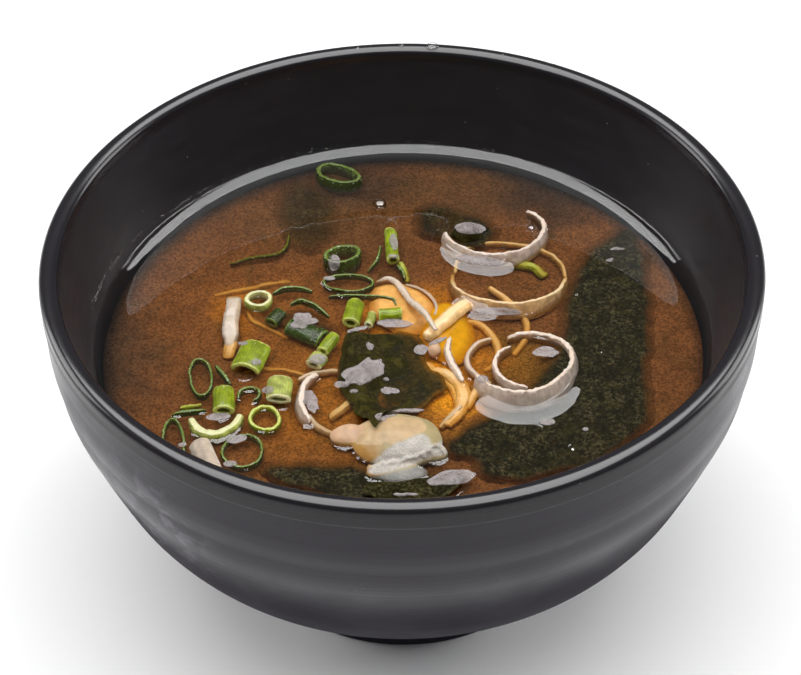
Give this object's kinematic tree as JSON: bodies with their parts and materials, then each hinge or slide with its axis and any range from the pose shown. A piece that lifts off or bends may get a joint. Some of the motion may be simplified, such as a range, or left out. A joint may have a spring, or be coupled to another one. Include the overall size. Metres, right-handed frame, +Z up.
{
  "type": "bowl of miso soup",
  "caption": "Round footed lacquer soup bowl filled with brown miso soup, topped with leek rings, scallion slices and seaweed; rests on its foot.",
  "frame": {"origin": "centre of the foot ring's underside, on the surface that the bowl stands on", "axes": "+Z up, -Y towards the side that the diner and the camera look from, +X to the right"},
  "size_m": [0.12, 0.12, 0.0665],
  "materials": {
    "lacquer": "black lacquer: glossy inside and on the lip, matte charcoal outside",
    "broth": "cloudy brown broth with a wet, mirror-smooth surface",
    "leek": "wet boiled leek, white with fine ribs, orange where it sinks",
    "leek_warm": "wet boiled leek, cream yellow",
    "onion": "wet boiled leek heart in layers, translucent peach to white",
    "scallion_green": "wet fresh scallion, bright green with pale ribs",
    "scallion_pale": "wet scallion near its white part, pale green",
    "scallion_dark": "wet scallion leaf, dark green",
    "seaweed": "wet soaked seaweed, nearly black green"
  },
  "bodies": {
    "root": {"bowl": "lacquer", "leek_arc_inner": "leek", "leek_rib": "leek", "leek_ring_back": "leek", "leek_ring_front": "leek", "leek_ring_left": "leek", "leek_ring_middle": "leek", "leek_stick": "leek_warm", "leek_strand_back": "leek", "leek_strand_right": "leek", "leek_strip": "leek", "onion_chunk": "onion", "onion_knob": "onion", "scallion_arc_01": "scallion_pale", "scallion_arc_02": "scallion_dark", "scallion_ring_01": "scallion_dark", "scallion_ring_02": "scallion_dark", "scallion_ring_03": "scallion_green", "scallion_ring_04": "scallion_dark", "scallion_ring_05": "scallion_dark", "scallion_ring_06": "scallion_dark", "scallion_ring_07": "scallion_dark", "scallion_ring_08": "scallion_pale", "scallion_stalk_01": "scallion_green", "scallion_stalk_02": "scallion_green", "scallion_stalk_03": "scallion_pale", "scallion_stalk_04": "scallion_green", "scallion_stalk_05": "scallion_green", "scallion_stalk_06": "scallion_pale", "scallion_stalk_07": "scallion_green", "scallion_stalk_08": "scallion_pale", "scallion_stalk_09": "scallion_dark", "scallion_stalk_10": "scallion_green", "scallion_stalk_11": "scallion_dark", "scallion_strand_01": "scallion_dark", "scallion_strand_02": "scallion_dark", "scallion_strand_03": "scallion_dark", "scallion_strand_04": "scallion_dark", "scallion_strand_05": "scallion_dark", "scallion_strand_06": "scallion_dark", "scallion_strand_07": "scallion_dark", "seaweed_fold": "seaweed", "seaweed_front": "seaweed", "seaweed_leaf": "seaweed", "soup": "broth"}
  },
  "joints": []
}
